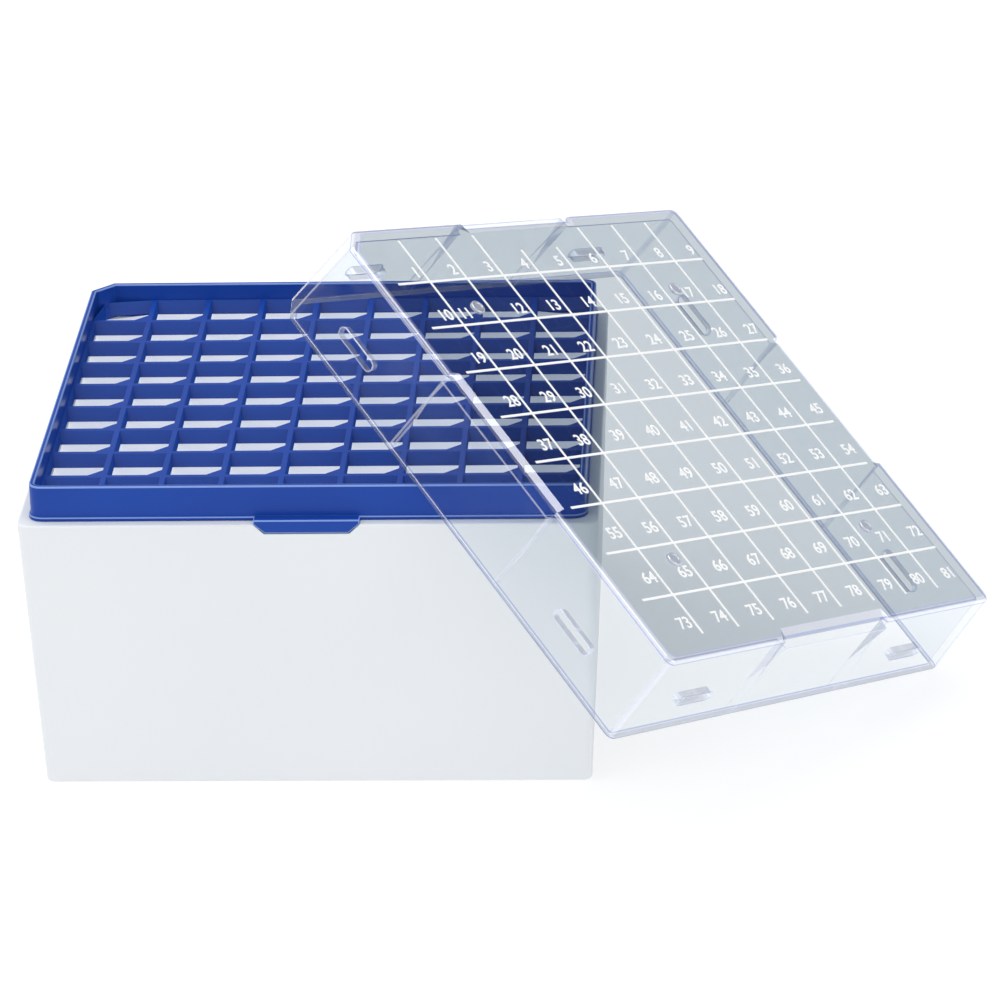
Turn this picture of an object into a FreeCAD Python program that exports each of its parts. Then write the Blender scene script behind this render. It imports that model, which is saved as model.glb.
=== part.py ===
import FreeCAD, Part
import os

import Sketcher
from FreeCAD import Rotation, Vector

# Freezer storage box for 81 screw-cap vials. Millimetres, +Z up.
# The origin is the centre of the base's underside; -Y is the front of the box.
# The lid is off and leans over the front right corner of the box.

os.makedirs("parts", exist_ok=True)
doc = FreeCAD.newDocument("freezer_box")
sizes = doc.addObject("Spreadsheet::Sheet", "sizes")

SIZES = [
    ("base_width", 133.0, "base, across the top rim"),
    ("base_foot", 128.0, "base, across the underside"),
    ("base_height", 67.3, "base, underside to top rim"),
    ("base_floor", 2.5, "floor thickness"),
    ("base_corner", 3.0, "corner radius of the base"),
    ("foot_round", 1.2, "rounding under the base"),
    ("cavity_width", 124.4, "inside of the base, square"),
    ("notch_width", 19.5, "rim notch, along its bottom"),
    ("notch_flare", 2.6, "rim notch, extra width per side at the top"),
    ("notch_depth", 2.4, "rim notch, below the rim"),
    ("notch_fit", 0.15, "gap round the tab in its notch"),
    ("cell_pitch", 13.75, "vial cell, centre to centre"),
    ("well_wall", 1.2, "thickness of the white well walls"),
    ("well_fit", 0.05, "gap at each slot of the crossing walls"),
    ("collar_width", 127.3, "collar, across the outside"),
    ("collar_height", 8.5, "collar, above the base rim"),
    ("collar_wall", 1.3, "collar wall above the grid"),
    ("collar_corner", 3.0, "corner radius of the collar"),
    ("collar_key", 5.2, "cut corner of the collar"),
    ("bead_height", 1.0, "bead along the foot of the collar"),
    ("bead_proud", 0.45, "bead, beyond the collar wall"),
    ("tab_proud", 2.6, "tab, beyond the collar wall"),
    ("grid_height", 4.3, "blue grid, top above the base rim"),
    ("grid_foot", 0.7, "blue grid, underside above the base rim"),
    ("grid_wall", 1.25, "thickness of the blue grid walls"),
    ("web_leg_x", 3.2, "corner web, across"),
    ("web_leg_y", 2.9, "corner web, front to back"),
    ("lid_width", 133.8, "lid, across the open edge"),
    ("lid_top", 131.0, "lid, across the plate"),
    ("lid_height", 24.7, "lid, open edge to plate"),
    ("lid_wall", 1.8, "lid wall thickness"),
    ("lid_plate", 2.0, "lid plate thickness"),
    ("lid_corner", 2.0, "corner radius of the lid"),
    ("lid_key", 5.4, "cut corner of the lid"),
    ("scoop_width", 42.4, "finger recess, along the side"),
    ("scoop_lip", 3.4, "finger recess, width of its bevel on the plate"),
    ("scoop_drop", 1.3, "finger recess, height of its bevel"),
    ("scoop_inset", 1.0, "finger recess, depth in the wall below the bevel"),
    ("scoop_foot", 9.0, "finger recess, lower end above the open edge"),
    ("slot_length", 12.6, "vent slot, along the side"),
    ("slot_height", 2.6, "vent slot, height"),
    ("slot_level", 9.2, "vent slot, centre above the open edge"),
    ("slot_offset", 43.0, "vent slot, centre from the middle of the side"),
    ("stud_radius", 1.9, "stacking stud radius"),
    ("stud_height", 0.8, "stacking stud above the plate"),
    ("stud_offset", 39.0, "stacking stud from the lid's centre lines"),
    ("print_width", 0.6, "printed line width"),
    ("print_height", 0.15, "printed line above the plate"),
    ("print_reach", 59.6, "printed lines, from the centre to the sides"),
    ("print_back", 61.2, "printed lines, from the centre to the back"),
    ("print_short", 55.6, "the two middle lines, from the centre to the back"),
    ("lid_x", 69.3, "leaning lid, open edge centre, x"),
    ("lid_y", -19.2, "leaning lid, open edge centre, y"),
    ("lid_z", 54.5, "leaning lid, open edge centre, z"),
    ("lid_yaw", 53.2, "leaning lid, turn about z, degrees"),
    ("lid_pitch", 14.6, "leaning lid, turn about its y, degrees"),
    ("lid_roll", 34.1, "leaning lid, turn about its x, degrees"),
]
for row, (alias, value, note) in enumerate(SIZES, start=1):
    sizes.set(f"A{row}", note)
    sizes.set(f"B{row}", str(value))
    sizes.setAlias(f"B{row}", alias)
doc.recompute()

S = {alias: value for alias, value, note in SIZES}
CELLS = 9
WALLS = range(CELLS - 1)


def bind(obj, bindings):
    """Ties properties of an object to spreadsheet expressions."""
    for prop, expression in bindings.items():
        obj.setExpression(prop, expression)
    return obj


def box(name, x, y, z, length, width, height):
    """A Part::Box whose corner and size all follow expressions."""
    block = doc.addObject("Part::Box", name)
    return bind(block, {
        "Placement.Base.x": x,
        "Placement.Base.y": y,
        "Placement.Base.z": z,
        "Length": length,
        "Width": width,
        "Height": height,
    })


def compound(name, members):
    """Keeps separate solids together as one sub-part."""
    group = doc.addObject("Part::Compound", name)
    group.Links = members
    return group


def cut(name, base, tool):
    """One object minus another."""
    result = doc.addObject("Part::Cut", name)
    result.Base = base
    result.Tool = tool
    return result


def fuse(name, members):
    """Several touching objects made one solid."""
    result = doc.addObject("Part::MultiFuse", name)
    result.Shapes = members
    return result


def square_pad(body, name, side, level, height, draft="0"):
    """Pads a centred square of the given side upwards from a level."""
    sketch = body.newObject("Sketcher::SketchObject", f"{name}_sketch")
    sketch.AttachmentSupport = (body.Origin.OriginFeatures[3], [""])
    sketch.MapMode = "FlatFace"
    sketch.setExpression("AttachmentOffset.Base.z", level)
    corners = [Vector(-9, -9, 0), Vector(9, -9, 0), Vector(9, 9, 0), Vector(-9, 9, 0)]
    for i in range(4):
        sketch.addGeometry(Part.LineSegment(corners[i], corners[(i + 1) % 4]), False)
    for i in range(4):
        sketch.addConstraint(Sketcher.Constraint("Coincident", i, 2, (i + 1) % 4, 1))
    for i in (0, 2):
        sketch.addConstraint(Sketcher.Constraint("Horizontal", i))
    for i in (1, 3):
        sketch.addConstraint(Sketcher.Constraint("Vertical", i))
    sketch.addConstraint(Sketcher.Constraint("Symmetric", 0, 1, 2, 1, -1, 1))
    for i, label in ((0, "across"), (1, "deep")):
        index = sketch.addConstraint(Sketcher.Constraint("Distance", i, 18.0))
        sketch.renameConstraint(index, label)
        sketch.setExpression(f"Constraints.{label}", side)
    pad = body.newObject("PartDesign::Pad", name)
    pad.Profile = sketch
    bind(pad, {"Length": height, "TaperAngle": draft})
    doc.recompute()
    return pad


def upright_edges(shape, corners):
    """Names of the upright corner edges in the given quadrants."""
    names = []
    for number, edge in enumerate(shape.Edges, start=1):
        ends = [vertex.Point for vertex in edge.Vertexes]
        if len(ends) != 2 or abs(ends[0].z - ends[1].z) < 1.0:
            continue
        middle = (ends[0] + ends[1]) * 0.5
        quadrant = (1 if middle.x > 0 else -1, 1 if middle.y > 0 else -1)
        if quadrant in corners:
            names.append(f"Edge{number}")
    return names


def level_edges(shape, level):
    """Names of the edges that lie in one horizontal plane."""
    names = []
    for number, edge in enumerate(shape.Edges, start=1):
        if all(abs(vertex.Point.z - level) < 1e-4 for vertex in edge.Vertexes):
            names.append(f"Edge{number}")
    return names


def dress(body, kind, name, feature, edges, **values):
    """Adds a fillet or chamfer on chosen edges of the last feature."""
    dressing = body.newObject(f"PartDesign::{kind}", name)
    dressing.Base = (feature, edges)
    bind(dressing, values)
    doc.recompute()
    return dressing


def prism(name, points, length):
    """Extrudes a polygon of expression pairs, half of the length each way."""
    sketch = doc.addObject("Sketcher::SketchObject", f"{name}_sketch")
    spots = []
    for x, y in points:
        spots.append(Vector(sizes.evalExpression(x), sizes.evalExpression(y), 0))
    count = len(spots)
    for i in range(count):
        sketch.addGeometry(Part.LineSegment(spots[i], spots[(i + 1) % count]), False)
    for i in range(count):
        sketch.addConstraint(Sketcher.Constraint("Coincident", i, 2, (i + 1) % count, 1))
    for i, (x, y) in enumerate(points):
        for kind, value, label, expression in (
            ("DistanceX", spots[i].x, f"across{i}", x),
            ("DistanceY", spots[i].y, f"up{i}", y),
        ):
            index = sketch.addConstraint(Sketcher.Constraint(kind, -1, 1, i, 1, value))
            sketch.renameConstraint(index, label)
            sketch.setExpression(f"Constraints.{label}", expression)
    solid = doc.addObject("Part::Extrusion", name)
    solid.Base = sketch
    solid.DirMode = "Custom"
    solid.Dir = Vector(0, 0, 1)
    solid.Solid = True
    solid.Symmetric = True
    bind(solid, {"LengthFwd": length})
    return solid


def centred(index):
    """Expression for the middle of wall number index, counted from 0."""
    return f"({index} - {(CELLS - 2) / 2}) * sizes.cell_pitch"


def crossing_walls(name, span, thickness, low, high, slots_low, along_x):
    """Eight parallel walls, slotted halfway for the walls that cross them."""
    walls = []
    slots = []
    middle = f"({low} + {high}) / 2"
    half = f"({high} - ({low})) / 2"
    slot_level = f"{low} - 1" if slots_low else middle
    gap = f"{thickness} + 2 * sizes.well_fit"
    for i in WALLS:
        start = f"-({span}) / 2"
        across = f"{centred(i)} - {thickness} / 2"
        crossing = f"{centred(i)} - ({gap}) / 2"
        if along_x:
            wall = (start, across, low, span, thickness, f"{high} - ({low})")
            slot = (crossing, start, slot_level, gap, span, f"{half} + 1")
        else:
            wall = (across, start, low, thickness, span, f"{high} - ({low})")
            slot = (start, crossing, slot_level, span, gap, f"{half} + 1")
        walls.append(box(f"{name}_wall{i + 1}", *wall))
        slots.append(box(f"{name}_slot{i + 1}", *slot))
    return cut(name, compound(f"{name}_walls", walls), compound(f"{name}_slots", slots))


def base_shell():
    """White drafted base with a straight square cavity and two rim notches."""
    body = doc.addObject("PartDesign::Body", "base_body")
    draft = "atan((sizes.base_width - sizes.base_foot) / 2 / sizes.base_height)"
    pad = square_pad(body, "base_block", "sizes.base_foot", "0", "sizes.base_height", draft)
    edges = upright_edges(pad.Shape, ALL_CORNERS)
    corners = dress(body, "Fillet", "base_corners", pad, edges, Radius="sizes.base_corner")
    edges = level_edges(corners.Shape, 0.0)
    dress(body, "Fillet", "base_underside", corners, edges, Radius="sizes.foot_round")
    cavity = box("base_cavity", "-sizes.cavity_width / 2", "-sizes.cavity_width / 2",
                 "sizes.base_floor", "sizes.cavity_width", "sizes.cavity_width",
                 "sizes.base_height")
    half = "sizes.notch_width / 2"
    top = f"{half} + sizes.notch_flare"
    foot = "sizes.base_height - sizes.notch_depth"
    notch = prism("base_notch", [
        (f"-({half})", foot),
        (half, foot),
        (top, "sizes.base_height"),
        (top, "sizes.base_height + 1"),
        (f"-({top})", "sizes.base_height + 1"),
        (f"-({top})", "sizes.base_height"),
    ], "sizes.base_width + 10")
    notch.Placement = FreeCAD.Placement(Vector(0, 0, 0), Rotation(Vector(1, 0, 0), 90))
    return cut("base_shell", body, compound("base_hollows", [cavity, notch]))


def collar():
    """Blue ring on the base rim, with a cut corner, a bead and two tabs."""
    key = [(-1, 1)]
    rest = [corner for corner in ALL_CORNERS if corner not in key]
    rings = []
    for name, side, height in (
        ("collar_ring", "sizes.collar_width", "sizes.collar_height"),
        ("collar_bead", "sizes.collar_width + 2 * sizes.bead_proud", "sizes.bead_height"),
    ):
        body = doc.addObject("PartDesign::Body", f"{name}_body")
        pad = square_pad(body, name, side, "sizes.base_height", height)
        edges = upright_edges(pad.Shape, rest)
        corners = dress(body, "Fillet", f"{name}_corners", pad, edges,
                        Radius="sizes.collar_corner")
        edges = upright_edges(corners.Shape, key)
        dress(body, "Chamfer", f"{name}_key", corners, edges, Size="sizes.collar_key")
        rings.append(body)
    half = "sizes.notch_width / 2 - sizes.notch_fit"
    top = f"{half} + sizes.notch_flare"
    foot = "sizes.base_height - sizes.notch_depth + sizes.notch_fit"
    tabs = prism("collar_tabs", [
        (f"-({half})", foot),
        (half, foot),
        (top, "sizes.base_height"),
        (top, "sizes.base_height + sizes.bead_height"),
        (f"-({top})", "sizes.base_height + sizes.bead_height"),
        (f"-({top})", "sizes.base_height"),
    ], "sizes.collar_width + 2 * sizes.tab_proud")
    tabs.Placement = FreeCAD.Placement(Vector(0, 0, 0), Rotation(Vector(1, 0, 0), 90))
    inner = f"{CELLS} * sizes.cell_pitch"
    low = box("collar_window", f"-({inner}) / 2", f"-({inner}) / 2", "0",
              inner, inner, "sizes.base_height * 2")
    seat = "sizes.cavity_width + 2 * sizes.notch_fit"
    below = box("collar_seat", f"-({seat}) / 2", f"-({seat}) / 2", "0",
                seat, seat, "sizes.base_height")
    wide = "sizes.collar_width - 2 * sizes.collar_wall"
    high = box("collar_ledge", f"-({wide}) / 2", f"-({wide}) / 2",
               "sizes.base_height + sizes.grid_height", wide, wide, "sizes.base_height")
    solid = fuse("collar_solid", rings + [tabs])
    ring = cut("collar_open", solid, compound("collar_hollows", [low, below, high]))
    corner_span = "sizes.collar_key + 1"
    fill = doc.addObject("Part::Wedge", "collar_key_fill")
    bind(fill, {
        "Xmin": "0", "X2min": "0",
        "Xmax": corner_span, "X2max": "0",
        "Ymin": "0", "Ymax": corner_span,
        "Zmin": "0", "Z2min": "0",
        "Zmax": "sizes.collar_height", "Z2max": "sizes.collar_height",
        "Placement.Base.x": "-sizes.collar_width / 2",
        "Placement.Base.y": "sizes.collar_width / 2",
        "Placement.Base.z": "sizes.base_height",
    })
    fill.Placement.Rotation = Rotation(Vector(0, 0, 1), -90)
    outer = rings[0]
    within = doc.addObject("Part::Common", "collar_key_wall")
    within.Base = outer
    within.Tool = fill
    return fuse("collar", [ring, within])


def cell_webs():
    """Small triangular webs in the front right corner of every cell."""
    webs = []
    for row in range(CELLS):
        for column in range(CELLS):
            web = doc.addObject("Part::Wedge", f"web_{row + 1}_{column + 1}")
            right = f"({column + 1 - CELLS / 2}) * sizes.cell_pitch"
            front = f"({row - CELLS / 2}) * sizes.cell_pitch"
            shrink_x = "0" if column == CELLS - 1 else "sizes.grid_wall / 2"
            shrink_y = "0" if row == 0 else "sizes.grid_wall / 2"
            bind(web, {
                "Xmin": "-sizes.web_leg_x", "Xmax": "0",
                "X2min": "0", "X2max": "0",
                "Ymin": "0", "Ymax": "sizes.web_leg_y",
                "Zmin": "0", "Zmax": "sizes.grid_height - sizes.grid_foot",
                "Z2min": "0", "Z2max": "sizes.grid_height - sizes.grid_foot",
                "Placement.Base.x": f"{right} - {shrink_x}",
                "Placement.Base.y": f"{front} + {shrink_y}",
                "Placement.Base.z": "sizes.base_height + sizes.grid_foot",
            })
            webs.append(web)
    return compound("cell_webs", webs)


def lean(obj):
    """Places a lid sub-part, modelled upright, in the leaning pose."""
    obj.setExpression("Placement", "create(<<placement>>; "
                      "create(<<vector>>; sizes.lid_x; sizes.lid_y; sizes.lid_z); "
                      "create(<<rotation>>; sizes.lid_yaw; sizes.lid_pitch; sizes.lid_roll))")
    return obj


def lid_block(name, shrink, height):
    """Drafted square block with the lid's cut corner, shrunk on all sides."""
    body = doc.addObject("PartDesign::Body", f"{name}_body")
    draft = "-atan((sizes.lid_width - sizes.lid_top) / 2 / sizes.lid_height)"
    side = f"sizes.lid_width - 2 * {shrink}"
    pad = square_pad(body, name, side, "0", height, draft)
    key = [(-1, 1)]
    rest = [corner for corner in ALL_CORNERS if corner not in key]
    edges = upright_edges(pad.Shape, rest)
    corners = dress(body, "Fillet", f"{name}_corners", pad, edges,
                    Radius=f"sizes.lid_corner - {shrink} * 0.6")
    edges = upright_edges(corners.Shape, key)
    dress(body, "Chamfer", f"{name}_key", corners, edges,
          Size=f"sizes.lid_key - {shrink} * 0.6")
    return body


def scoops(name, inset, widen):
    """Four ramps that slope in from the sides of the lid to its plate."""
    ramps = []
    slope = "(sizes.lid_width - sizes.lid_top) / 2 / sizes.lid_height"
    outside = "sizes.lid_width / 2 + 12"
    top = f"sizes.lid_top / 2 - sizes.scoop_lip - {inset}"
    middle = f"sizes.lid_top / 2 + sizes.scoop_drop * {slope} - sizes.scoop_inset - {inset}"
    bottom = f"sizes.lid_width / 2 - sizes.scoop_foot * {slope} - {inset}"
    for turn in range(4):
        ramp = prism(f"{name}{turn + 1}", [
            (bottom, "sizes.scoop_foot"),
            (outside, "sizes.scoop_foot"),
            (outside, "sizes.lid_height + 2"),
            (top, "sizes.lid_height + 2"),
            (top, "sizes.lid_height"),
            (middle, "sizes.lid_height - sizes.scoop_drop"),
        ], f"sizes.scoop_width + 2 * {widen}")
        upright = Rotation(Vector(1, 0, 0), 90)
        ramp.Placement = FreeCAD.Placement(
            Vector(0, 0, 0), Rotation(Vector(0, 0, 1), 90 * turn) * upright)
        ramps.append(ramp)
    return ramps


def lid_shell():
    """Clear lid: drafted, one cut corner, finger recesses and vent slots."""
    outer = cut("lid_outer", lid_block("lid_block", "0", "sizes.lid_height"),
                compound("lid_scoops", scoops("scoop", "0", "0")))
    inner = cut("lid_inner",
                lid_block("lid_hollow", "sizes.lid_wall",
                          "sizes.lid_height - sizes.lid_plate"),
                compound("lid_inner_ramps", scoops("ramp", "sizes.lid_wall", "sizes.lid_wall")))
    slots = []
    for side, sign in (("left", -1), ("right", 1), ("front", -1), ("back", 1)):
        for place, shift in (("a", -1), ("b", 1)):
            along = f"{shift} * sizes.slot_offset - sizes.slot_length / 2"
            across = f"{sign} * sizes.lid_width / 2 - 4"
            level = "sizes.slot_level - sizes.slot_height / 2"
            if side in ("left", "right"):
                block = (across, along, level, "8", "sizes.slot_length", "sizes.slot_height")
            else:
                block = (along, across, level, "sizes.slot_length", "8", "sizes.slot_height")
            slots.append(box(f"slot_{side}_{place}", *block))
    return cut("lid_shell", outer, compound("lid_hollows", [inner] + slots))


def lid_studs():
    """Four low round studs on the lid's plate."""
    studs = []
    for x in (-1, 1):
        for y in (-1, 1):
            stud = doc.addObject("Part::Cylinder", f"stud_{len(studs) + 1}")
            bind(stud, {
                "Radius": "sizes.stud_radius",
                "Height": "sizes.stud_height",
                "Placement.Base.x": f"{x} * sizes.stud_offset",
                "Placement.Base.y": f"{y} * sizes.stud_offset",
                "Placement.Base.z": "sizes.lid_height",
            })
            studs.append(stud)
    return compound("lid_studs", studs)


def lid_grid_lines():
    """Printed lines on the plate, over the walls between the cells."""
    lines = []
    for i in WALLS:
        across = f"{centred(i)} - sizes.print_width / 2"
        back = "sizes.print_short" if i in (3, 4) else "sizes.print_back"
        lines.append(box(f"print_column{i + 1}", across, "-sizes.print_reach",
                         "sizes.lid_height", "sizes.print_width",
                         f"sizes.print_reach + {back}", "sizes.print_height"))
        lines.append(box(f"print_row{i + 1}", "-sizes.print_reach", across,
                         "sizes.lid_height", "2 * sizes.print_reach",
                         "sizes.print_width", "sizes.print_height"))
    return fuse("lid_grid_lines", lines)


ALL_CORNERS = [(-1, -1), (1, -1), (1, 1), (-1, 1)]
GRID_FOOT = "sizes.base_height + sizes.grid_foot"
GRID_TOP = "sizes.base_height + sizes.grid_height"
GRID_SPAN = f"{CELLS} * sizes.cell_pitch"
WELL_SPAN = f"{GRID_SPAN} - 0.1"

nodes = {
    "base_shell": base_shell(),
    "well_rows": crossing_walls("well_rows_cut", WELL_SPAN, "sizes.well_wall",
                                "sizes.base_floor", GRID_FOOT, True, True),
    "well_columns": crossing_walls("well_columns_cut", WELL_SPAN, "sizes.well_wall",
                                   "sizes.base_floor", GRID_FOOT, False, False),
    "collar": collar(),
    "grid_rows": crossing_walls("grid_rows_cut", GRID_SPAN, "sizes.grid_wall",
                                GRID_FOOT, GRID_TOP, True, True),
    "grid_columns": crossing_walls("grid_columns_cut", GRID_SPAN, "sizes.grid_wall",
                                   GRID_FOOT, GRID_TOP, False, False),
    "cell_webs": cell_webs(),
    "lid_shell": lean(lid_shell()),
    "lid_studs": lean(lid_studs()),
    "lid_grid_lines": lean(lid_grid_lines()),
}
for node, obj in nodes.items():
    obj.Label = node
doc.recompute()

for obj in doc.Objects:
    if "Invalid" in obj.State or "Error" in obj.State:
        raise RuntimeError(f"{obj.Label} failed to build: {obj.State}")
for node, obj in nodes.items():
    shape = obj.Shape
    if shape.isNull() or not shape.isValid() or not shape.Solids:
        raise RuntimeError(f"{node} has no valid solid")
    shape.exportStep(f"parts/{node}.step")
    extent = shape.BoundBox
    print(node, len(shape.Solids), "solids", round(shape.Volume, 1), "mm3",
          [round(value, 2) for value in (extent.XMin, extent.YMin, extent.ZMin,
                                         extent.XMax, extent.YMax, extent.ZMax)])
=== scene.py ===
import math

import bmesh
import bpy
from mathutils import Matrix, Vector


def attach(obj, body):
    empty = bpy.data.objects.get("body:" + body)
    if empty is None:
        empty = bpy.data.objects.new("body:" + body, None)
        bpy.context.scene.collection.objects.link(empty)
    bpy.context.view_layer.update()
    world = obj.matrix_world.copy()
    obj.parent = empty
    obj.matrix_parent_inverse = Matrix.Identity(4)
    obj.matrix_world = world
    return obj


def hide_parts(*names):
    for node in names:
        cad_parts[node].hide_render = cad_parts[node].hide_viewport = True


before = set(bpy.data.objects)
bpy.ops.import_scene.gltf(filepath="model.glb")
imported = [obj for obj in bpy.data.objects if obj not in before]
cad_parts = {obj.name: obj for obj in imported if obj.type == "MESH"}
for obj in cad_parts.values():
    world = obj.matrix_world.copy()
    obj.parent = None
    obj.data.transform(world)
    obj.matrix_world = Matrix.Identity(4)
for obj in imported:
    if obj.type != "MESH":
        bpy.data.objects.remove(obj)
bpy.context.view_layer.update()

MM = 0.001

SHARP_ANGLE = 50.0
ROUNDING_ANGLE = 35.0

# The box, in millimetres. -Y is the front.
BASE_TOP_HALF = 66.5
BASE_FOOT_HALF = 64.0
BASE_HEIGHT = 67.3
BASE_FLOOR = 2.5
BASE_CORNER = 3.0
BASE_LEAST_CORNER = 0.6
BASE_CORNER_FADE = 0.55
FOOT_ROUND = 1.2
RIM_ROUND = 0.5
CAVITY_HALF = 62.2
NOTCH_HALF = 9.75
NOTCH_FLARE = 2.6
NOTCH_DEPTH = 2.4
NOTCH_CUT_REACH = 80
NOTCH_CUT_ABOVE = 2
CELLS = 9
CELL_PITCH = 13.75
SEAT_GAP = 0.02
WELL_WALL = 1.2
WELL_BORDER = 61.84
WELL_WINDOW = 61.5
WELL_WEB = 0.6
WELL_CORNER_REACH = 119.5
WELL_BORDER_DROP = 0.03
WELL_CORNER_DROP = 0.8
COLLAR_HALF = 63.65
COLLAR_TOP = 75.8
COLLAR_WALL = 1.3
COLLAR_CORNER = 3.0
COLLAR_LEAST_CORNER = 0.5
COLLAR_KEY = 5.2
COLLAR_KEY_FADE = 0.58
COLLAR_ROUND = 0.35
COLLAR_LEDGE = 1.0
BEAD_HEIGHT = 1.0
BEAD_PROUD = 0.45
BEAD_ROUND = 0.25
BEAD_FILLET = 0.15
TAB_PROUD = 2.6
TAB_GAP = 0.15
TAB_ROOT = 0.3
TAB_ROUND = 0.3
GRID_TOP = 71.6
GRID_FOOT = 68.0
GRID_WALL = 1.25
GRID_ROUND = 0.2
GRID_OVERLAP = 0.01
GRID_CORNER_SPARE = 1.2
WEB_X = 3.2
WEB_Y = 2.9

# The lid, in millimetres, in its own frame: the open edge is at z = 0.
LID_HALF = 66.9
LID_TOP_HALF = 65.5
LID_HEIGHT = 24.7
LID_WALL = 1.8
LID_PLATE = 2.0
LID_CORNER = 2.0
LID_LEAST_CORNER = 0.5
LID_KEY = 5.4
LID_INNER_FADE = 0.6
LID_ORIGIN = (69.3, -19.2, 54.5)
LID_TURN = (53.2, 14.6, 34.1)
SCOOP_HALF = 21.2
SCOOP_FLANK = 0.6
SCOOP_LIP = 3.4
SCOOP_DROP = 1.3
SCOOP_INSET = 1.0
SCOOP_FOOT = 9.0
SLOT_LENGTH = 12.6
SLOT_HEIGHT = 2.6
SLOT_LEVEL = 9.2
SLOT_OFFSET = 43.0
SLOT_CUT = (60.0, 70.0)
SLOT_STEPS = 8
STUD_RADIUS = 1.9
STUD_HEIGHT = 0.8
STUD_OFFSET = 39.0
STUD_ROUND = 0.35
STUD_RIDGE = 0.8
STUD_RIDGE_ROUND = 0.25
STUD_DISH = 0.3
STUD_MIDDLE = 0.01
STUD_SIDES = 32
DIGIT_SIZE = 4.5
DIGIT_WIDE = 1.08
DIGIT_WEIGHT = 0.07
DIGIT_THICK = 0.04
DIGIT_LIFT = 0.1

# Numbers start at a cell's corner and drift a little from column to column and
# from row to row. One of them is printed farther left than the rest.
NUMBER_X = -1.2
NUMBER_Y = 1.6
NUMBER_DRIFT_X = -0.2
NUMBER_DRIFT_Y = 0.35
STRAY_NUMBER = 11
STRAY_SHIFT = -6.2

# Material slots of the lid's mesh, and what a face needs to get one.
WALL, EDGE, PLATE, LINE = range(4)
# EDGE is a painted highlight and LINE a painted dark line; flank and corner faces get EDGE.
PLATE_FACING = 0.3
CORNER_FACING = 0.5
FLANK_REACH = 0.25
KEY_REACH = 4.0

# Colours and light.
WHITE = (0.76, 0.785, 0.81)
WHITE_WARM = (0.78, 0.80, 0.82)
BLUE = (0.009, 0.054, 0.335)
BLUE_LIGHT = (0.010, 0.060, 0.36)
# Painted highlight: lighter blue given to the insert's rounded edges.
BLUE_EDGE_HIGHLIGHT = (0.20, 0.31, 0.66)
WALL_TINT = (0.955, 0.968, 0.978)
# Painted shade: the plate is tinted far darker than the clear plastic, so what shows through it looks
# grey; only a little of this is real tint.
PLATE_SHADE_TINT = (0.585, 0.63, 0.665)
# Painted highlight: whitish tint of the lid's edges and studs.
EDGE_HIGHLIGHT_TINT = (0.90, 0.92, 1.0)
# Painted shade: darker lavender lines along the lid's edges.
LINE_SHADE_TINT = (0.56, 0.61, 0.82)
# Painted glow: emission strength of the well walls, standing in for light (no lamp).
WELL_PAINTED_GLOW = 0.22
ROOM_BRIGHT = 0.8
ROOM_DARK = 0.12
DARK_SIDE = (0.546, 0.74, 0.384)
DARK_FROM = 0.55
DARK_FULL = 0.92
FLOOR_GLOW = 0.62
FLOOR_HALF = 4000
FLOOR_DROP = 0.05

# The camera, in millimetres and degrees.
CAMERA_AT = (91.3, -1011.0, 496.1)
CAMERA_YAW = -2.849
CAMERA_DOWN = 24.094
CAMERA_ROLL = -1.518
CAMERA_LENS = 164.7


def lid_matrix():
    """Placement of the lid's own frame: it leans over the front right corner."""
    yaw, pitch, roll = (math.radians(angle) for angle in LID_TURN)
    turn = Matrix.Rotation(yaw, 4, "Z") @ Matrix.Rotation(pitch, 4, "Y") @ Matrix.Rotation(roll, 4, "X")
    return Matrix.Translation(Vector(LID_ORIGIN) * MM) @ turn


def add_camera():
    """Long lens from the front, above and a little to the right."""
    yaw, down, roll = (math.radians(a) for a in (CAMERA_YAW, CAMERA_DOWN, CAMERA_ROLL))
    forward = Vector((math.sin(yaw) * math.cos(down), math.cos(yaw) * math.cos(down), -math.sin(down)))
    right = Vector((math.cos(yaw), -math.sin(yaw), 0.0))
    up = right.cross(forward)
    side = right * math.cos(roll) + up * math.sin(roll)
    top = up * math.cos(roll) - right * math.sin(roll)
    data = bpy.data.cameras.new("camera")
    data.lens = CAMERA_LENS
    data.sensor_width = 36.0
    data.clip_end = 20.0
    camera = bpy.data.objects.new("camera", data)
    matrix = Matrix((side, top, -forward)).transposed().to_4x4()
    camera.matrix_world = Matrix.Translation(Vector(CAMERA_AT) * MM) @ matrix
    bpy.context.scene.collection.objects.link(camera)
    bpy.context.scene.camera = camera


def new_object(name, mesh):
    """Links a mesh into the scene as a named object."""
    thing = bpy.data.objects.new(name, mesh)
    bpy.context.scene.collection.objects.link(thing)
    return thing


def mesh_object(name, bm, *materials):
    """Turns a bmesh in millimetres into an object in metres."""
    bmesh.ops.remove_doubles(bm, verts=bm.verts, dist=0.001)
    bmesh.ops.recalc_face_normals(bm, faces=bm.faces)
    bmesh.ops.scale(bm, verts=bm.verts, vec=(MM, MM, MM))
    mesh = bpy.data.meshes.new(name)
    bm.to_mesh(mesh)
    bm.free()
    for material in materials:
        mesh.materials.append(material)
    mesh.shade_smooth()
    thing = new_object(name, mesh)
    even_normals(thing)
    return thing


def even_normals(thing):
    """Keeps big faces flat and lets the roundings blend between them."""
    thing.data.set_sharp_from_angle(angle=math.radians(SHARP_ANGLE))
    weigh = thing.modifiers.new("normals", "WEIGHTED_NORMAL")
    weigh.keep_sharp = True
    weigh.weight = 100
    bake_modifiers(thing)


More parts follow.
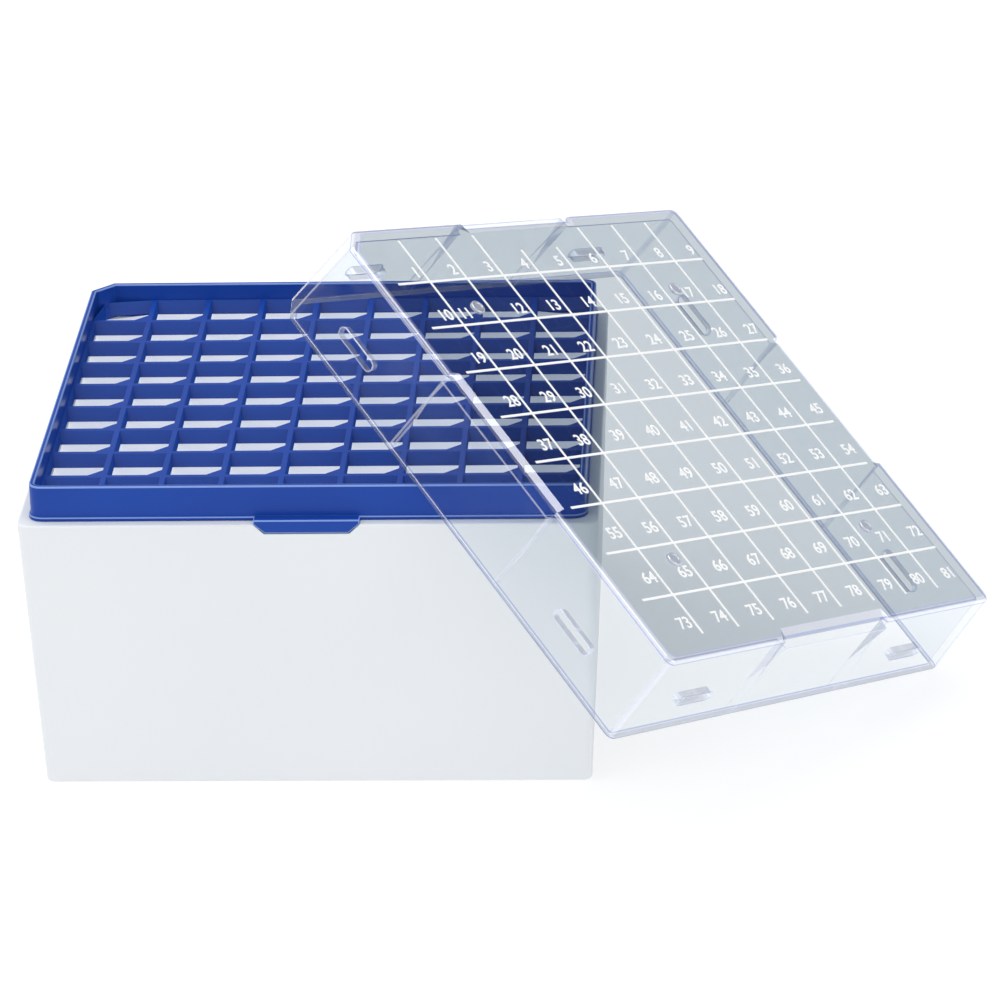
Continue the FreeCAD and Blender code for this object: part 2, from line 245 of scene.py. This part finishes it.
def round_edges(thing, width, segments, edge_highlight_material):
    """Rounds the sharp edges, in their own material (the painted edge highlight), and bakes the result.
    """
    bevel = thing.modifiers.new("rounding", "BEVEL")
    bevel.width = width * MM
    bevel.segments = segments
    bevel.limit_method = "ANGLE"
    bevel.angle_limit = math.radians(ROUNDING_ANGLE)
    bevel.use_clamp_overlap = True
    thing.data.materials.append(edge_highlight_material)
    bevel.material = len(thing.data.materials) - 1
    bake_modifiers(thing)
    even_normals(thing)


def bake_modifiers(thing):
    """Replaces the mesh by its modified version."""
    graph = bpy.context.evaluated_depsgraph_get()
    baked = bpy.data.meshes.new_from_object(thing.evaluated_get(graph), depsgraph=graph)
    thing.modifiers.clear()
    thing.data = baked


def cut_away(thing, tool):
    """Subtracts one object from another, then deletes the tool."""
    boolean = thing.modifiers.new("cut", "BOOLEAN")
    boolean.operation = "DIFFERENCE"
    boolean.solver = "EXACT"
    boolean.object = tool
    bake_modifiers(thing)
    even_normals(thing)
    bpy.data.objects.remove(tool)


def square_ring(half, radius, z, key=0.0, steps=6):
    """Points round a square with round corners; one corner can be cut off."""
    points = []
    for corner, (sx, sy) in enumerate(((1, 1), (-1, 1), (-1, -1), (1, -1))):
        if key and corner == 1:
            first = Vector((-half + key, half, z))
            last = Vector((-half, half - key, z))
            for step in range(steps + 1):
                points.append(first.lerp(last, step / steps))
            continue
        for step in range(steps + 1):
            angle = math.radians(90 * corner + 90 * step / steps)
            x = sx * (half - radius) + radius * math.cos(angle)
            y = sy * (half - radius) + radius * math.sin(angle)
            points.append(Vector((x, y, z)))
    return points


def loft(bm, rings, closed=False, cap_first=False, cap_last=False, row_slots=None):
    """Skins a stack of rings that all have the same number of points.

    row_slots gives each band between two rings its material slot.
    """
    rows = [[bm.verts.new(point) for point in ring] for ring in rings]
    count = len(rows[0])
    pairs = list(zip(rows, rows[1:]))
    if closed:
        pairs.append((rows[-1], rows[0]))
    for row, (low, high) in enumerate(pairs):
        for i in range(count):
            j = (i + 1) % count
            face = bm.faces.new((low[i], low[j], high[j], high[i]))
            if row_slots is not None:
                face.material_index = row_slots[row]
    if cap_first:
        bm.faces.new(list(reversed(rows[0])))
    if cap_last:
        bm.faces.new(rows[-1])


def arc(centre_out, centre_up, radius, start, end, steps=4):
    """Points (outwards, upwards) on an arc, angles in degrees."""
    points = []
    for step in range(steps + 1):
        angle = math.radians(start + (end - start) * step / steps)
        points.append((centre_out + radius * math.cos(angle),
                       centre_up + radius * math.sin(angle)))
    return points


def prism(name, outline, front, back, material):
    """Solid with an x-z outline, from y = front to y = back."""
    bm = bmesh.new()
    loft(bm, [[Vector((x, y, z)) for x, z in outline] for y in (front, back)],
         cap_first=True, cap_last=True)
    return mesh_object(name, bm, material)


# ---------------------------------------------------------------- materials

def principled(name, color, roughness, ior=1.46):
    """A plastic with uniform values set straight on the shader."""
    material = bpy.data.materials.new(name)
    material.use_nodes = True
    shader = material.node_tree.nodes["Principled BSDF"]
    shader.inputs["Base Color"].default_value = (*color, 1.0)
    shader.inputs["Roughness"].default_value = roughness
    shader.inputs["IOR"].default_value = ior
    return material, shader


def add_bump(material, shader, scale, detail, strength, distance):
    """Bump from noise fixed to the object: fine grain or slow waves."""
    nodes = material.node_tree.nodes
    links = material.node_tree.links
    place = nodes.new("ShaderNodeTexCoord")
    noise = nodes.new("ShaderNodeTexNoise")
    noise.inputs["Scale"].default_value = scale
    noise.inputs["Detail"].default_value = detail
    bump = nodes.new("ShaderNodeBump")
    bump.inputs["Strength"].default_value = strength
    bump.inputs["Distance"].default_value = distance
    links.new(place.outputs["Object"], noise.inputs["Vector"])
    links.new(noise.outputs["Fac"], bump.inputs["Height"])
    links.new(bump.outputs["Normal"], shader.inputs["Normal"])


def add_mottle(material, shader, first, second, scale):
    """Slow drift between two close colours, like uneven translucency."""
    nodes = material.node_tree.nodes
    links = material.node_tree.links
    place = nodes.new("ShaderNodeTexCoord")
    noise = nodes.new("ShaderNodeTexNoise")
    noise.inputs["Scale"].default_value = scale
    noise.inputs["Detail"].default_value = 2.0
    ramp = nodes.new("ShaderNodeValToRGB")
    ramp.color_ramp.elements[0].position = 0.35
    ramp.color_ramp.elements[0].color = (*first, 1.0)
    ramp.color_ramp.elements[1].position = 0.65
    ramp.color_ramp.elements[1].color = (*second, 1.0)
    links.new(place.outputs["Object"], noise.inputs["Vector"])
    links.new(noise.outputs["Fac"], ramp.inputs["Fac"])
    links.new(ramp.outputs["Color"], shader.inputs["Base Color"])


def white_plastic():
    """Satin white polypropylene of the base."""
    material, shader = principled("white polypropylene", WHITE, 0.42)
    add_mottle(material, shader, WHITE, WHITE_WARM, 14.0)
    add_bump(material, shader, scale=900.0, detail=3.0, strength=0.12, distance=0.0001)
    return material


def well_plastic():
    """The same white with a painted glow: emission makes the well walls bright, standing in for light
    through the walls.
    """
    material, shader = principled("white polypropylene, inside, painted glow", WHITE, 0.5)
    shader.inputs["Emission Color"].default_value = (0.90, 0.92, 1.0, 1.0)
    shader.inputs["Emission Strength"].default_value = WELL_PAINTED_GLOW
    return material


def blue_plastic(name, first, second):
    """Deep blue polypropylene of the insert, slightly glossy."""
    material, shader = principled(name, first, 0.32)
    shader.inputs["Specular IOR Level"].default_value = 0.22
    add_mottle(material, shader, first, second, 30.0)
    add_bump(material, shader, scale=700.0, detail=3.0, strength=0.08, distance=0.0001)
    return material


def clear_plastic(name, tint, haze, roughness, shine_least, shine_most, waves=0.0):
    """Thin clear polycarbonate: tinted see-through, gloss and a little haze."""
    material = bpy.data.materials.new(name)
    material.use_nodes = True
    nodes = material.node_tree.nodes
    links = material.node_tree.links
    nodes.clear()
    out = nodes.new("ShaderNodeOutputMaterial")
    through = nodes.new("ShaderNodeBsdfTransparent")
    through.inputs["Color"].default_value = (*tint, 1.0)
    milk = nodes.new("ShaderNodeBsdfDiffuse")
    milk.inputs["Color"].default_value = (0.9, 0.92, 1.0, 1.0)
    gloss = nodes.new("ShaderNodeBsdfAnisotropic")
    gloss.inputs["Color"].default_value = (1.0, 1.0, 1.0, 1.0)
    gloss.inputs["Roughness"].default_value = roughness
    facing = nodes.new("ShaderNodeLayerWeight")
    facing.inputs["Blend"].default_value = 0.5
    grazing = nodes.new("ShaderNodeMath")
    grazing.operation = "POWER"
    grazing.inputs[1].default_value = 4.0
    shine = nodes.new("ShaderNodeMapRange")
    shine.inputs["To Min"].default_value = shine_least
    shine.inputs["To Max"].default_value = shine_most
    veil = nodes.new("ShaderNodeMixShader")
    veil.inputs["Fac"].default_value = haze
    surface = nodes.new("ShaderNodeMixShader")
    links.new(through.outputs["BSDF"], veil.inputs[1])
    links.new(milk.outputs["BSDF"], veil.inputs[2])
    if waves:
        add_bump(material, gloss, scale=45.0, detail=1.0, strength=1.0, distance=waves * MM)
    links.new(facing.outputs["Facing"], grazing.inputs[0])
    links.new(grazing.outputs["Value"], shine.inputs["Value"])
    links.new(shine.outputs["Result"], surface.inputs["Fac"])
    links.new(veil.outputs["Shader"], surface.inputs[1])
    links.new(gloss.outputs["BSDF"], surface.inputs[2])
    links.new(surface.outputs["Shader"], out.inputs["Surface"])
    return material


# ---------------------------------------------------------------- the base

def notch_outline(gap, top):
    """Points (x, z) of a rim notch, or of the tab that fits it with a gap."""
    half = NOTCH_HALF - gap
    wide = half + NOTCH_FLARE
    foot = BASE_HEIGHT - NOTCH_DEPTH + gap
    return [(-half, foot), (half, foot), (wide, BASE_HEIGHT),
            (wide, top), (-wide, top), (-wide, BASE_HEIGHT)]


def build_base():
    """White base: drafted shell with a rounded foot and rim, and its notches."""
    profile = arc(BASE_FOOT_HALF - FOOT_ROUND, FOOT_ROUND, FOOT_ROUND, -90, 0)
    profile += arc(BASE_TOP_HALF - RIM_ROUND, BASE_HEIGHT - RIM_ROUND, RIM_ROUND, 0, 90)
    profile += arc(CAVITY_HALF + RIM_ROUND, BASE_HEIGHT - RIM_ROUND, RIM_ROUND, 90, 180)
    profile.append((CAVITY_HALF, BASE_FLOOR))
    rings = []
    for half, z in profile:
        radius = max(BASE_LEAST_CORNER, BASE_CORNER - (BASE_TOP_HALF - half) * BASE_CORNER_FADE)
        rings.append(square_ring(half, radius, z))
    bm = bmesh.new()
    loft(bm, rings, cap_first=True, cap_last=True)
    base = mesh_object("base", bm, MATERIALS["white"])
    outline = notch_outline(0.0, BASE_HEIGHT + NOTCH_CUT_ABOVE)
    cut_away(base, prism("notch", outline, -NOTCH_CUT_REACH, NOTCH_CUT_REACH, MATERIALS["white"]))
    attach(base, "base")
    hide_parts("base_shell")


def cell_lattice(name, wall, border, window, low, high, web, material):
    """One solid lattice with a hole for every cell.

    The outer holes end at the window. The web cuts off a hole's front right corner.
    """
    bm = bmesh.new()

    def edge(index):
        spot = (index - CELLS / 2) * CELL_PITCH
        return math.copysign(border, spot) if index in (0, CELLS) else spot

    def hole_side(index, inward):
        spot = (index - CELLS / 2) * CELL_PITCH
        if index in (0, CELLS):
            return math.copysign(window, spot)
        return spot + inward * wall / 2

    for i in range(CELLS):
        for j in range(CELLS):
            x0, x1, y0, y1 = edge(i), edge(i + 1), edge(j), edge(j + 1)
            left, right = hole_side(i, 1), hole_side(i + 1, -1)
            front, back = hole_side(j, 1), hole_side(j + 1, -1)
            hole = [(left, front), (right - web[0], front), (right, front + web[1]),
                    (right, back), (left, back)]
            outer = [(x0, y0), (x1, y0), (x1, y1), (x0, y1)]
            for z in (low, high):
                rim = [bm.verts.new((x, y, z)) for x, y in outer]
                lip = [bm.verts.new((x, y, z)) for x, y in hole]
                bm.faces.new((rim[0], rim[1], lip[1], lip[0]))
                bm.faces.new((rim[1], lip[2], lip[1]))
                bm.faces.new((rim[1], rim[2], lip[3], lip[2]))
                bm.faces.new((rim[2], rim[3], lip[4], lip[3]))
                bm.faces.new((rim[3], rim[0], lip[0], lip[4]))
            sides = list(zip(hole, hole[1:] + hole[:1]))
            if i == 0:
                sides.append((outer[3], outer[0]))
            if i == CELLS - 1:
                sides.append((outer[1], outer[2]))
            if j == 0:
                sides.append((outer[0], outer[1]))
            if j == CELLS - 1:
                sides.append((outer[2], outer[3]))
            for (xa, ya), (xb, yb) in sides:
                corners = ((xa, ya, low), (xb, yb, low), (xb, yb, high), (xa, ya, high))
                bm.faces.new([bm.verts.new(corner) for corner in corners])
    return mesh_object(name, bm, material)


def build_wells():
    """White walls of the wells, from the floor up to the grid.

    The border stays below the rim, and its corners lower, to clear the collar.
    """
    wells = cell_lattice("wells", WELL_WALL, WELL_BORDER, WELL_WINDOW, BASE_FLOOR + SEAT_GAP,
                         GRID_FOOT - SEAT_GAP, (WELL_WEB, WELL_WEB), MATERIALS["well"])
    border_from = (WELL_WINDOW + WELL_BORDER) / 2
    for vertex in wells.data.vertices:
        x, y, z = vertex.co / MM
        if z > BASE_HEIGHT and abs(x) + abs(y) > WELL_CORNER_REACH:
            vertex.co.z = (BASE_HEIGHT - WELL_CORNER_DROP) * MM
        elif z > BASE_HEIGHT and max(abs(x), abs(y)) > border_from:
            vertex.co.z = (BASE_HEIGHT - WELL_BORDER_DROP) * MM
    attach(wells, "base")
    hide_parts("well_rows", "well_columns")


# ---------------------------------------------------------------- the insert

def build_collar():
    """Blue ring: bead, wall and rounded rim, with the cut corner.

    Each band is (material slot, points); slot 1 is the painted edge highlight.
    """
    bead = COLLAR_HALF + BEAD_PROUD - BEAD_ROUND
    bead_top = BASE_HEIGHT + BEAD_HEIGHT
    inner = COLLAR_HALF - COLLAR_WALL
    rim = COLLAR_TOP - COLLAR_ROUND
    ledge = GRID_TOP - COLLAR_LEDGE
    bands = [
        (0, [(CAVITY_HALF, BASE_HEIGHT + SEAT_GAP)]),
        (0, arc(bead, BASE_HEIGHT + SEAT_GAP + BEAD_ROUND, BEAD_ROUND, -90, 0, 2)),
        (1, arc(bead, bead_top - BEAD_ROUND, BEAD_ROUND, 0, 90, 3)),
        (0, arc(COLLAR_HALF + BEAD_FILLET, bead_top + BEAD_FILLET, BEAD_FILLET, 270, 180, 2)),
        (1, arc(COLLAR_HALF - COLLAR_ROUND, rim, COLLAR_ROUND, 0, 90, 4)),
        (1, arc(inner + COLLAR_ROUND, rim, COLLAR_ROUND, 90, 180, 4)),
        (0, [(inner, ledge), (CAVITY_HALF, ledge)]),
    ]
    rings = []
    slots = []
    for slot, points in bands:
        slots += [slot if index else 0 for index in range(len(points))]
    for half, z in [point for slot, points in bands for point in points]:
        inset = COLLAR_HALF - half
        radius = max(COLLAR_LEAST_CORNER, COLLAR_CORNER - inset)
        rings.append(square_ring(half, radius, z, COLLAR_KEY - inset * COLLAR_KEY_FADE))
    bm = bmesh.new()
    loft(bm, rings, closed=True, row_slots=slots[1:] + [0])
    return mesh_object("collar_ring", bm, MATERIALS["blue"], MATERIALS["blue edge highlight"])


def trim_grid_corner(grid):
    """Pulls the grid's rear left corner in behind the collar's cut corner."""
    limit = (2 * COLLAR_HALF - COLLAR_KEY) * MM - GRID_CORNER_SPARE * MM
    for vertex in grid.data.vertices:
        left, back = -vertex.co.x, vertex.co.y
        if left > 0 and back > 0 and left + back > limit:
            spare = (left + back - limit) / 2
            vertex.co.x += spare
            vertex.co.y -= spare


def build_insert():
    """The blue insert as one piece: collar, tabs, grid and corner webs."""
    collar = build_collar()
    outline = notch_outline(TAB_GAP, BASE_HEIGHT + BEAD_HEIGHT)
    proud = COLLAR_HALF + TAB_PROUD
    tabs = []
    for name, front, back in (("front_tab", -proud, -CAVITY_HALF - TAB_ROOT),
                              ("back_tab", CAVITY_HALF + TAB_ROOT, proud)):
        tab = prism(name, outline, front, back, MATERIALS["blue"])
        round_edges(tab, TAB_ROUND, 3, MATERIALS["blue edge highlight"])
        tabs.append(tab)
    grid = cell_lattice("grid", GRID_WALL, COLLAR_HALF - COLLAR_WALL + GRID_OVERLAP,
                        CELLS / 2 * CELL_PITCH, GRID_FOOT, GRID_TOP, (WEB_X, WEB_Y),
                        MATERIALS["blue"])
    trim_grid_corner(grid)
    round_edges(grid, GRID_ROUND, 2, MATERIALS["blue edge highlight"])
    for piece in [collar, grid] + tabs:
        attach(piece, "insert")
    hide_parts("collar")
    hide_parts("grid_rows", "grid_columns", "cell_webs")


# ---------------------------------------------------------------- the lid

def lid_side(z):
    """Distance from the lid's middle to its drafted outer side at a level."""
    return LID_HALF - (LID_HALF - LID_TOP_HALF) * z / LID_HEIGHT


def lid_inset(z):
    """How far the finger recess stands back from the lid's side at a level."""
    crease = LID_HEIGHT - SCOOP_DROP
    if z <= SCOOP_FOOT:
        return 0.0
    if z <= crease:
        return SCOOP_INSET * (z - SCOOP_FOOT) / (crease - SCOOP_FOOT)
    return SCOOP_INSET + (SCOOP_LIP - SCOOP_INSET) * (z - crease) / SCOOP_DROP


def lid_ring(half, z, within, skin):
    """Ring of the lid: round corners, one cut corner, a recess on every side."""
    depth = lid_inset(z) + skin - (lid_side(z) - half) if lid_inset(z) else 0.0
    radius = max(LID_LEAST_CORNER, LID_CORNER - LID_INNER_FADE * within)
    ring = square_ring(half, radius, z, LID_KEY - LID_INNER_FADE * within)
    share = len(ring) // 4
    flank = SCOOP_HALF - SCOOP_FLANK
    points = []
    for corner in range(4):
        points += ring[corner * share:(corner + 1) * share]
        turn = Matrix.Rotation(math.radians(90 * corner), 4, "Z")
        for along, back in ((-SCOOP_HALF, 0.0), (-flank, depth), (flank, depth), (SCOOP_HALF, 0.0)):
            points.append(turn @ Vector((-along, half - back, z)))
    return points


def build_lid():
    """Clear lid: drafted walls, rounded edges with painted highlights and painted dark lines, recesses,
    slots.

    A profile point is (distance from the middle, level, slot of the band up to it).
    """
    top = LID_HEIGHT
    under = LID_HEIGHT - LID_PLATE
    crease = LID_HEIGHT - SCOOP_DROP
    rim = lid_side(top)
    mouth = lid_side(0)
    ceiling = lid_side(under) - LID_WALL
    # EDGE bands carry painted highlights, LINE bands painted dark lines beside them.
    outer = [
        (rim - 1.5, top, WALL), (rim - 1.2, top - 0.01, LINE),
        (rim - 0.45, top - 0.12, EDGE), (rim - 0.12, top - 0.45, EDGE),
        (lid_side(top - 0.9), top - 0.9, EDGE), (lid_side(top - 1.2), top - 1.2, LINE),
        (lid_side(crease), crease, WALL), (lid_side(SCOOP_FOOT), SCOOP_FOOT, WALL),
        (lid_side(0.5), 0.5, WALL), (mouth - 0.15, 0.12, LINE), (mouth - 0.5, 0.0, EDGE),
    ]
    inner = [
        (mouth - LID_WALL + 0.5, 0.0, EDGE), (mouth - LID_WALL + 0.15, 0.12, EDGE),
        (lid_side(0.5) - LID_WALL, 0.5, LINE), (lid_side(SCOOP_FOOT) - LID_WALL, SCOOP_FOOT, WALL),
        (ceiling, under - 0.5, WALL), (ceiling - 0.1, under - 0.1, EDGE), (ceiling - 0.5, under, LINE),
    ]
    rings = [lid_ring(half, z, 0.0, 0.0) for half, z, slot in outer]
    rings += [lid_ring(half, z, LID_WALL, -LID_WALL) for half, z, slot in inner]
    rows = [slot for half, z, slot in (outer + inner)[1:]]
    bm = bmesh.new()
    loft(bm, rings, cap_first=True, cap_last=True, row_slots=rows)
    lid = mesh_object("lid", bm, MATERIALS["wall"], MATERIALS["edge"],
                      MATERIALS["plate"], MATERIALS["line"])
    for turn in range(4):
        for along in (-SLOT_OFFSET, SLOT_OFFSET):
            cut_away(lid, slot_tool(turn, along))
    for face in lid.data.polygons:
        face.material_index = lid_slot(face)
    lid.data.transform(lid_matrix())
    even_normals(lid)
    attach(lid, "lid")
    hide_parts("lid_shell")


def lid_slot(face):
    """Material slot of a lid face, from where it is and which way it faces."""
    if face.material_index in (EDGE, LINE):
        return face.material_index
    x, y, _ = face.center / MM
    across, deep, up = face.normal
    ridge = SCOOP_HALF - SCOOP_FLANK / 2
    on_flank = abs(abs(x) - ridge) < FLANK_REACH or abs(abs(y) - ridge) < FLANK_REACH
    on_corner = abs(across) > CORNER_FACING and abs(deep) > CORNER_FACING
    on_cut_corner = x <= 0 and y >= 0 and abs(x + y) <= KEY_REACH
    if up > PLATE_FACING:
        return PLATE
    # Flanks and corners get the painted edge highlight.
    if on_flank or (on_corner and not on_cut_corner):
        return EDGE
    return WALL


def slot_outline(along, out, grow):
    """Points round a slot with round ends, standing in one side's plane."""
    radius = SLOT_HEIGHT / 2 + grow
    reach = (SLOT_LENGTH - SLOT_HEIGHT) / 2
    points = []
    for sign, start in ((1, -90), (-1, 90)):
        for step in range(SLOT_STEPS + 1):
            angle = math.radians(start + 180 * step / SLOT_STEPS)
            points.append(Vector((along + sign * reach + radius * math.cos(angle), out,
                                  SLOT_LEVEL + radius * math.sin(angle))))
    return points


def slot_tool(turn, along):
    """Cutter for one vent slot."""
    bm = bmesh.new()
    loft(bm, [slot_outline(along, out, 0.0) for out in SLOT_CUT], cap_first=True, cap_last=True)
    tool = mesh_object("slot_tool", bm, MATERIALS["edge"])
    tool.data.transform(Matrix.Rotation(math.radians(90 * turn), 4, "Z"))
    return tool


def build_slot_rims():
    """Thin lips round the vent slots, with a painted highlight; section points are (grow, proud)."""
    bm = bmesh.new()
    section = [(-0.05, 0.0), (0.0, 0.14), (0.22, 0.14), (0.3, 0.0)]
    for turn in range(4):
        spin = Matrix.Rotation(math.radians(90 * turn), 4, "Z")
        for along in (-SLOT_OFFSET, SLOT_OFFSET):
            rings = []
            for grow, proud in section:
                outline = slot_outline(along, lid_side(SLOT_LEVEL) + proud, grow)
                rings.append([spin @ point for point in outline])
            loft(bm, rings, closed=True)
    rims = mesh_object("slot_rims", bm, MATERIALS["edge"])
    rims.data.transform(lid_matrix())
    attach(rims, "lid")


def build_studs():
    """Four low round studs on the plate, each with a raised ridge and a dish."""
    profile = [(STUD_MIDDLE, -SEAT_GAP), (STUD_RADIUS, -SEAT_GAP)]
    profile += arc(STUD_RADIUS - STUD_ROUND, STUD_HEIGHT - STUD_ROUND, STUD_ROUND, 0, 90)
    profile += arc(STUD_RADIUS - STUD_RIDGE, STUD_HEIGHT - SEAT_GAP, STUD_RIDGE_ROUND, 90, 180, 3)
    profile.append((STUD_MIDDLE, STUD_HEIGHT - STUD_DISH))
    bm = bmesh.new()
    for sx in (-1, 1):
        for sy in (-1, 1):
            rings = []
            for radius, z in profile:
                ring = []
                for step in range(STUD_SIDES):
                    angle = math.tau * step / STUD_SIDES
                    ring.append(Vector((sx * STUD_OFFSET + radius * math.cos(angle),
                                        sy * STUD_OFFSET + radius * math.sin(angle),
                                        LID_HEIGHT + z)))
                rings.append(ring)
            loft(bm, rings, cap_first=True, cap_last=True)
    studs = mesh_object("studs", bm, MATERIALS["stud"])
    studs.data.transform(lid_matrix())
    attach(studs, "lid")
    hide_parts("lid_studs")


def build_numerals():
    """Position numbers printed at the front right of every cell."""
    middle = (CELLS - 2) / 2
    labels = []
    for row in range(CELLS):
        for column in range(CELLS):
            number = row * CELLS + column + 1
            text = bpy.data.curves.new(f"number {number}", "FONT")
            text.body = str(number)
            text.size = DIGIT_SIZE * MM
            text.align_x = "RIGHT"
            text.offset = DIGIT_WEIGHT * MM
            text.extrude = DIGIT_THICK * MM
            text.resolution_u = 4
            x = (column - middle) * CELL_PITCH + NUMBER_X + NUMBER_DRIFT_X * column
            y = (middle - row) * CELL_PITCH + NUMBER_Y + NUMBER_DRIFT_Y * row
            if number == STRAY_NUMBER:
                x += STRAY_SHIFT
            label = new_object(text.name, text)
            place = Matrix.Translation(Vector((x, y, LID_HEIGHT + DIGIT_LIFT)) * MM)
            label.matrix_world = place @ Matrix.Diagonal((DIGIT_WIDE, 1.0, 1.0, 1.0))
            labels.append(label)
    bpy.context.view_layer.update()
    graph = bpy.context.evaluated_depsgraph_get()
    bm = bmesh.new()
    for label in labels:
        mesh = bpy.data.meshes.new_from_object(label.evaluated_get(graph))
        mesh.transform(label.matrix_world)
        bm.from_mesh(mesh)
    for label in labels:
        bpy.data.objects.remove(label)
    mesh = bpy.data.meshes.new("numerals")
    bm.to_mesh(mesh)
    bm.free()
    mesh.materials.clear()
    mesh.materials.append(MATERIALS["print"])
    mesh.transform(lid_matrix())
    numerals = new_object("numerals", mesh)
    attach(numerals, "lid")


# ---------------------------------------------------------------- the studio

def add_softbox(name, place, target, width, height, power):
    """Rectangular area light that looks at a point, all in metres."""
    data = bpy.data.lights.new(name, "AREA")
    data.shape = "RECTANGLE"
    data.size = width
    data.size_y = height
    data.energy = power
    light = bpy.data.objects.new(name, data)
    light.location = Vector(place)
    light.rotation_euler = (Vector(target) - Vector(place)).to_track_quat("-Z", "Y").to_euler()
    bpy.context.scene.collection.objects.link(light)


def add_lights():
    """Large soft light overhead, weaker ones at the left front and the right."""
    add_softbox("top", (-0.2, 0.1, 1.6), (0.0, 0.0, 0.0), 1.6, 1.6, 13.0)
    add_softbox("left front", (-1.4, -0.9, 0.9), (0.0, 0.0, 0.04), 1.2, 1.0, 3.0)
    add_softbox("right", (1.3, -0.5, 0.5), (0.05, 0.0, 0.05), 1.0, 0.8, 3.0)


def add_world():
    """White room that is darker low down at the back right."""
    world = bpy.data.worlds.new("studio")
    world.use_nodes = True
    bpy.context.scene.world = world
    nodes = world.node_tree.nodes
    links = world.node_tree.links
    place = nodes.new("ShaderNodeTexCoord")
    dot = nodes.new("ShaderNodeVectorMath")
    dot.operation = "DOT_PRODUCT"
    dot.inputs[1].default_value = Vector(DARK_SIDE).normalized()
    fade = nodes.new("ShaderNodeMapRange")
    fade.inputs["From Min"].default_value = DARK_FROM
    fade.inputs["From Max"].default_value = DARK_FULL
    fade.inputs["To Min"].default_value = ROOM_BRIGHT
    fade.inputs["To Max"].default_value = ROOM_DARK
    links.new(place.outputs["Generated"], dot.inputs[0])
    links.new(dot.outputs["Value"], fade.inputs["Value"])
    links.new(fade.outputs["Result"], nodes["Background"].inputs["Strength"])
    nodes["Background"].inputs["Color"].default_value = (0.97, 0.985, 1.0, 1.0)


def add_floor():
    """Plain pale floor that stays close to white."""
    material, shader = principled("floor", (0.45, 0.45, 0.45), 0.9)
    shader.inputs["Specular IOR Level"].default_value = 0.1
    shader.inputs["Emission Color"].default_value = (1.0, 1.0, 1.0, 1.0)
    shader.inputs["Emission Strength"].default_value = FLOOR_GLOW
    bm = bmesh.new()
    corners = ((-1, -1), (1, -1), (1, 1), (-1, 1))
    bm.faces.new([bm.verts.new((x * FLOOR_HALF, y * FLOOR_HALF, -FLOOR_DROP)) for x, y in corners])
    mesh_object("floor", bm, material)


MATERIALS = {
    "white": white_plastic(),
    # Painted glow on the well walls.
    "well": well_plastic(),
    "blue": blue_plastic("blue polypropylene", BLUE, BLUE_LIGHT),
    # Painted highlight: lighter blue on the insert's rounded edges and grid tops.
    "blue edge highlight": blue_plastic("blue polypropylene, painted edge highlight", BLUE_EDGE_HIGHLIGHT, BLUE_EDGE_HIGHLIGHT),
    "wall": clear_plastic("clear polycarbonate", WALL_TINT, haze=0.0, roughness=0.03,
                          shine_least=0.008, shine_most=0.09, waves=2.2),
    # Painted shade: the plate darkens everything seen through it.
    "plate": clear_plastic("clear polycarbonate, plate with painted shade", PLATE_SHADE_TINT, haze=0.0, roughness=0.04,
                           shine_least=0.03, shine_most=0.4),
    # Painted shade: dark lines along the lid's edges.
    "line": clear_plastic("clear polycarbonate, painted dark edge lines", LINE_SHADE_TINT, haze=0.0, roughness=0.1,
                          shine_least=0.06, shine_most=0.3),
    # Painted highlight: haze and a high gloss floor make studs and edges bright.
    "stud": clear_plastic("clear polycarbonate, studs with painted highlight", EDGE_HIGHLIGHT_TINT, haze=0.35, roughness=0.1,
                          shine_least=0.3, shine_most=0.8),
    "edge": clear_plastic("clear polycarbonate, painted edge highlights", EDGE_HIGHLIGHT_TINT, haze=0.12, roughness=0.08,
                          shine_least=0.25, shine_most=0.8),
    "print": principled("white ink", (0.97, 0.97, 0.97), 0.5)[0],
}

build_base()
build_wells()
build_insert()
build_lid()
build_slot_rims()
build_studs()
build_numerals()
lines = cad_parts["lid_grid_lines"]
lines.data.materials.clear()
lines.data.materials.append(MATERIALS["print"])

add_camera()
add_world()
add_floor()
add_lights()

scene = bpy.context.scene
scene.cycles.transparent_max_bounces = 32
scene.view_settings.view_transform = "Standard"
